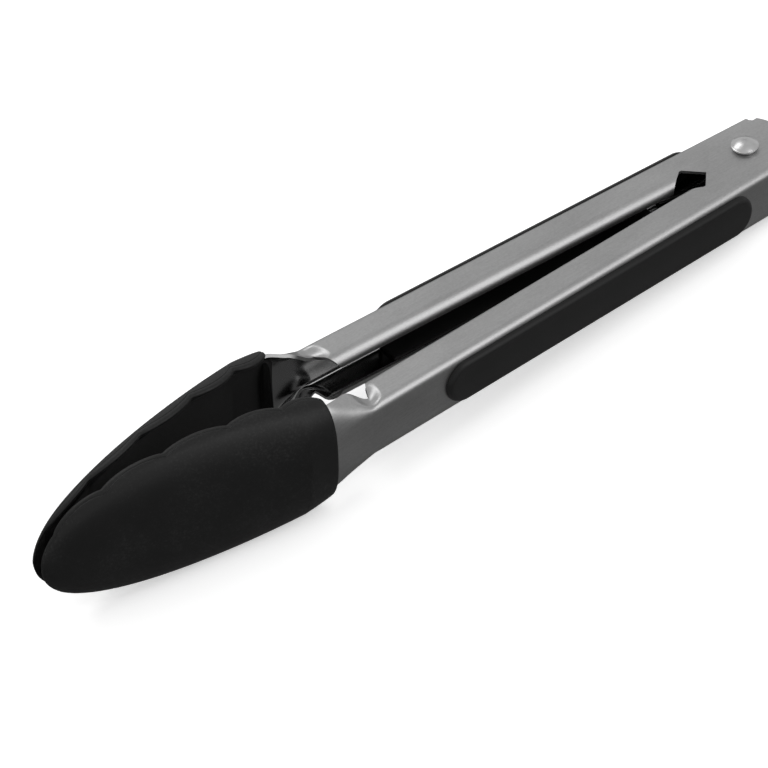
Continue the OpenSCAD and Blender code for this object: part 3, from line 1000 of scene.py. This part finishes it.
class TongsStudio(bpy.types.PropertyGroup):
    """Where the camera stands in the tongs' own frame, and how bright the lamps are."""

    azimuth: turning("Azimuth", -37.97, "Camera's turn round the rivet")
    elevation: turning("Elevation", 41.72, "Camera's rise over the plane of the arms")
    roll: turning("Roll", -1.79, "Camera's roll")
    distance: length("Distance", 1.4017, "Camera to the middle of an arm")
    lens: FloatProperty(
        name="Lens", default=285.4, min=10, subtype="DISTANCE_CAMERA", description="Focal length in millimetres"
    )
    key_power: wattage("Top light", 2.0, "Power of the large top lamp")
    strip_power: wattage("Strip light", 1.45, "Power of the strip lamp in front")
    wash_power: wattage("Floor wash", 14.0, "Power of the lamp that whitens the floor")
    sky: FloatProperty(name="Sky", default=1.0, min=0, description="Strength of the room's light")


def lamp(name, place, size, watts):
    """A soft rectangular lamp that shines at the floor under the middle of the tongs."""
    data = bpy.data.lights.new(name, "AREA")
    data.shape = "RECTANGLE"
    data.size, data.size_y = size
    data.energy = watts
    light = bpy.data.objects.new(name, data)
    light.location = place
    light.rotation_euler = (Vector() - Vector(place)).to_track_quat("-Z", "Y").to_euler()
    bpy.context.scene.collection.objects.link(light)
    return light


def lay_floor():
    """A wide pale floor just under the tongs."""
    bm = bmesh.new()
    bmesh.ops.create_grid(bm, x_segments=1, y_segments=1, size=6)
    mesh = bpy.data.meshes.new("floor")
    bm.to_mesh(mesh)
    bm.free()
    paper = Nodes("pale_paper")
    paper.set(Base_Color=(0.92, 0.92, 0.92, 1), Roughness=0.9)
    paper.set(Emission_Color=(1, 1, 1, 1), Emission_Strength=0.45)
    mesh.materials.append(paper.material)
    floor = bpy.data.objects.new("floor", mesh)
    floor.location = (0, 0, CAD_BOX[0].z - 0.0002)
    floor.visible_glossy = False
    bpy.context.scene.collection.objects.link(floor)


def place_camera(studio):
    az, el, roll = studio.azimuth, studio.elevation, studio.roll
    back = Vector((math.sin(az) * math.cos(el), -math.cos(az) * math.cos(el), math.sin(el)))
    level = Vector((math.cos(az), math.sin(az), 0))
    rise = back.cross(level)
    right = level * math.cos(roll) + rise * math.sin(roll)
    up = rise * math.cos(roll) - level * math.sin(roll)
    aim, aside, below = Vector((-0.105, 0, 0)), 0.0044, 0.00485
    stand = aim - right * aside - up * below + back * studio.distance
    data = bpy.data.cameras.new("camera")
    data.lens = studio.lens
    data.sensor_width = 36
    data.clip_start, data.clip_end = 0.05, 20
    camera = bpy.data.objects.new("camera", data)
    turned = Matrix((right, up, back)).transposed().to_4x4()
    camera.matrix_world = LYING @ Matrix.Translation(stand) @ turned
    bpy.context.scene.collection.objects.link(camera)
    bpy.context.scene.camera = camera


def hang_sky(strength):
    """A grey room's light, brightest a little above the level."""
    world = bpy.data.worlds.new("studio")
    world.use_nodes = True
    tree = world.node_tree
    tree.nodes.clear()
    sky = tree.nodes.new("ShaderNodeBackground")
    ways = tree.nodes.new("ShaderNodeTexCoord")
    parts = tree.nodes.new("ShaderNodeSeparateXYZ")
    height = tree.nodes.new("ShaderNodeMapRange")
    height.inputs["From Min"].default_value = -1
    shades = tree.nodes.new("ShaderNodeValToRGB")
    ramp = shades.color_ramp
    ramp.elements[0].position, ramp.elements[1].position = SKY[0][0], SKY[-1][0]
    for position, _ in SKY[1:-1]:
        ramp.elements.new(position)
    for element, (_, grey) in zip(ramp.elements, SKY):
        element.color = (grey, grey, grey, 1)
    out = tree.nodes.new("ShaderNodeOutputWorld")
    tree.links.new(ways.outputs["Generated"], parts.inputs[0])
    tree.links.new(parts.outputs["Z"], height.inputs["Value"])
    tree.links.new(height.outputs["Result"], shades.inputs["Fac"])
    tree.links.new(shades.outputs["Color"], sky.inputs["Color"])
    sky.inputs["Strength"].default_value = strength
    tree.links.new(sky.outputs["Background"], out.inputs["Surface"])
    bpy.context.scene.world = world


class TONGS_OT_stage(bpy.types.Operator):
    """Set the pale floor, the soft lamps and the camera"""

    bl_idname = "tongs.stage"
    bl_label = "Studio"

    def execute(self, context):
        studio = context.scene.tongs_studio
        lay_floor()
        place_camera(studio)
        hang_sky(studio.sky)
        context.scene.view_settings.view_transform = "Standard"
        wash = lamp("floor_wash", (0, 0, 1.6), (2.5, 2.5), studio.wash_power)
        wash.visible_glossy = False
        lamp("top_light", (0.0, 0.75, 1.0), (0.7, 0.5), studio.key_power)
        lamp("front_strip", (0.42, -0.69, 0.59), (0.3, 0.9), studio.strip_power)
        return {"FINISHED"}


class TONGS_PT_panel(bpy.types.Panel):
    """Lists the tongs' pieces"""

    bl_label = "Kitchen Tongs"
    bl_idname = "TONGS_PT_panel"
    bl_space_type = "VIEW_3D"
    bl_region_type = "UI"
    bl_category = "Tongs"

    def draw(self, context):
        for group in (context.scene.tongs_sizes, context.scene.tongs_finishes, context.scene.tongs_studio):
            box = self.layout.box()
            for prop in group.bl_rna.properties:
                if prop.identifier in group.__annotations__:
                    box.prop(group, prop.identifier)
        for operator in PIECES:
            self.layout.operator(operator.bl_idname)


PIECES = (
    TONGS_OT_stage,
    TONGS_OT_arms,
    TONGS_OT_tips,
    TONGS_OT_grips,
    TONGS_OT_rivet,
    TONGS_OT_spring,
    TONGS_OT_lock,
)
CLASSES = (TongsSizes, TongsFinishes, TongsStudio, *PIECES, TONGS_PT_panel)


def register():
    for cls in CLASSES:
        bpy.utils.register_class(cls)
    bpy.types.Scene.tongs_sizes = PointerProperty(type=TongsSizes)
    bpy.types.Scene.tongs_finishes = PointerProperty(type=TongsFinishes)
    bpy.types.Scene.tongs_studio = PointerProperty(type=TongsStudio)


def unregister():
    for name in ("tongs_sizes", "tongs_finishes", "tongs_studio"):
        delattr(bpy.types.Scene, name)
    for cls in reversed(CLASSES):
        bpy.utils.unregister_class(cls)


def main():
    register()
    for operator in PIECES:
        group, name = operator.bl_idname.split(".")
        getattr(getattr(bpy.ops, group), name)()
    bpy.context.view_layer.update()


if __name__ == "__main__":
    main()
